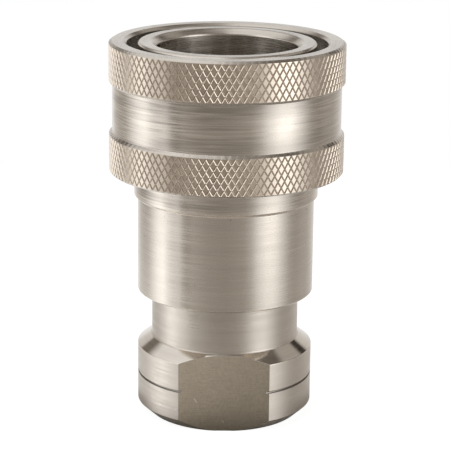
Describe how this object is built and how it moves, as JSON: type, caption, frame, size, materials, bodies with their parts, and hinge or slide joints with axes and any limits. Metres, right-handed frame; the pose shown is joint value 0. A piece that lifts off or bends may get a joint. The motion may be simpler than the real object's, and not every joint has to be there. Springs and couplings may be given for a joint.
{
  "type": "hydraulic quick coupler",
  "caption": "Female half of a poppet quick coupler for hydraulic lines: a sprung knurled sleeve frees a ring of locking balls, with a pipe port and wrench flats behind.",
  "frame": {"origin": "centre of the adapter's rear face, at the bottom of the standing coupler", "axes": "+Z along the coupler's axis and out of its nose, -Y out of one wrench flat"},
  "size_m": [0.0538, 0.0538, 0.0874],
  "materials": {
    "body_steel": "finely turned stainless steel",
    "adapter_steel": "turned stainless steel with milled wrench flats",
    "sleeve_steel": "turned and knurled stainless steel",
    "ring_steel": "plain spring steel",
    "spring_steel": "drawn stainless wire",
    "valve_steel": "turned stainless steel",
    "ball_steel": "polished hardened steel",
    "seal_rubber": "black nitrile rubber",
    "ring_plastic": "white ring plastic"
  },
  "bodies": {
    "coupler_body": {"socket_body": "body_steel", "adapter": "adapter_steel", "adapter_seal": "seal_rubber", "sleeve_stop_ring": "ring_steel", "spring_seat_washer": "ring_steel", "nipple_seal": "seal_rubber", "backup_ring": "ring_plastic", "valve_guide": "valve_steel", "guide_retaining_ring": "ring_steel", "valve_spring": "spring_steel"},
    "sleeve_spring_body": {"sleeve_spring": "spring_steel"},
    "sleeve_body": {"sleeve": "sleeve_steel"},
    "valve_body": {"poppet": "valve_steel", "poppet_seal": "seal_rubber"},
    "ball_01_body": {"ball_01": "ball_steel"},
    "ball_02_body": {"ball_02": "ball_steel"},
    "ball_03_body": {"ball_03": "ball_steel"},
    "ball_04_body": {"ball_04": "ball_steel"},
    "ball_05_body": {"ball_05": "ball_steel"},
    "ball_06_body": {"ball_06": "ball_steel"},
    "ball_07_body": {"ball_07": "ball_steel"},
    "ball_08_body": {"ball_08": "ball_steel"}
  },
  "joints": [
    {"name": "sleeve_turn", "type": "hinge", "parent": "coupler_body", "child": "sleeve_spring_body", "pos_m": [0, 0, 0.05865], "axis": [0, 0, 1], "continuous": true},
    {"name": "sleeve_slide", "type": "slide", "parent": "sleeve_spring_body", "child": "sleeve_body", "axis": [0, 0, -1], "range_m": [0, 0.007], "stiffness_N_per_m": 4000, "springref_m": -0.008, "deforming": ["sleeve_spring"]},
    {"name": "poppet_slide", "type": "slide", "parent": "coupler_body", "child": "valve_body", "axis": [0, 0, -1], "range_m": [0, 0.007], "stiffness_N_per_m": 3000, "springref_m": -0.007, "deforming": ["valve_spring"]},
    {"name": "ball_01_slide", "type": "slide", "parent": "coupler_body", "child": "ball_01_body", "axis": [1, 0, 0], "range_m": [0, 0.00145]},
    {"name": "ball_02_slide", "type": "slide", "parent": "coupler_body", "child": "ball_02_body", "axis": [0.7071, 0.7071, 0], "range_m": [0, 0.00145]},
    {"name": "ball_03_slide", "type": "slide", "parent": "coupler_body", "child": "ball_03_body", "axis": [0, 1, 0], "range_m": [0, 0.00145]},
    {"name": "ball_04_slide", "type": "slide", "parent": "coupler_body", "child": "ball_04_body", "axis": [-0.7071, 0.7071, 0], "range_m": [0, 0.00145]},
    {"name": "ball_05_slide", "type": "slide", "parent": "coupler_body", "child": "ball_05_body", "axis": [-1, 0, 0], "range_m": [0, 0.00145]},
    {"name": "ball_06_slide", "type": "slide", "parent": "coupler_body", "child": "ball_06_body", "axis": [-0.7071, -0.7071, 0], "range_m": [0, 0.00145]},
    {"name": "ball_07_slide", "type": "slide", "parent": "coupler_body", "child": "ball_07_body", "axis": [0, -1, 0], "range_m": [0, 0.00145]},
    {"name": "ball_08_slide", "type": "slide", "parent": "coupler_body", "child": "ball_08_body", "axis": [0.7071, -0.7071, 0], "range_m": [0, 0.00145]}
  ],
  "couplings": [
    {"joint": "ball_01_slide", "follows": "sleeve_slide", "ratio": 0.20714},
    {"joint": "ball_02_slide", "follows": "sleeve_slide", "ratio": 0.20714},
    {"joint": "ball_03_slide", "follows": "sleeve_slide", "ratio": 0.20714},
    {"joint": "ball_04_slide", "follows": "sleeve_slide", "ratio": 0.20714},
    {"joint": "ball_05_slide", "follows": "sleeve_slide", "ratio": 0.20714},
    {"joint": "ball_06_slide", "follows": "sleeve_slide", "ratio": 0.20714},
    {"joint": "ball_07_slide", "follows": "sleeve_slide", "ratio": 0.20714},
    {"joint": "ball_08_slide", "follows": "sleeve_slide", "ratio": 0.20714}
  ]
}
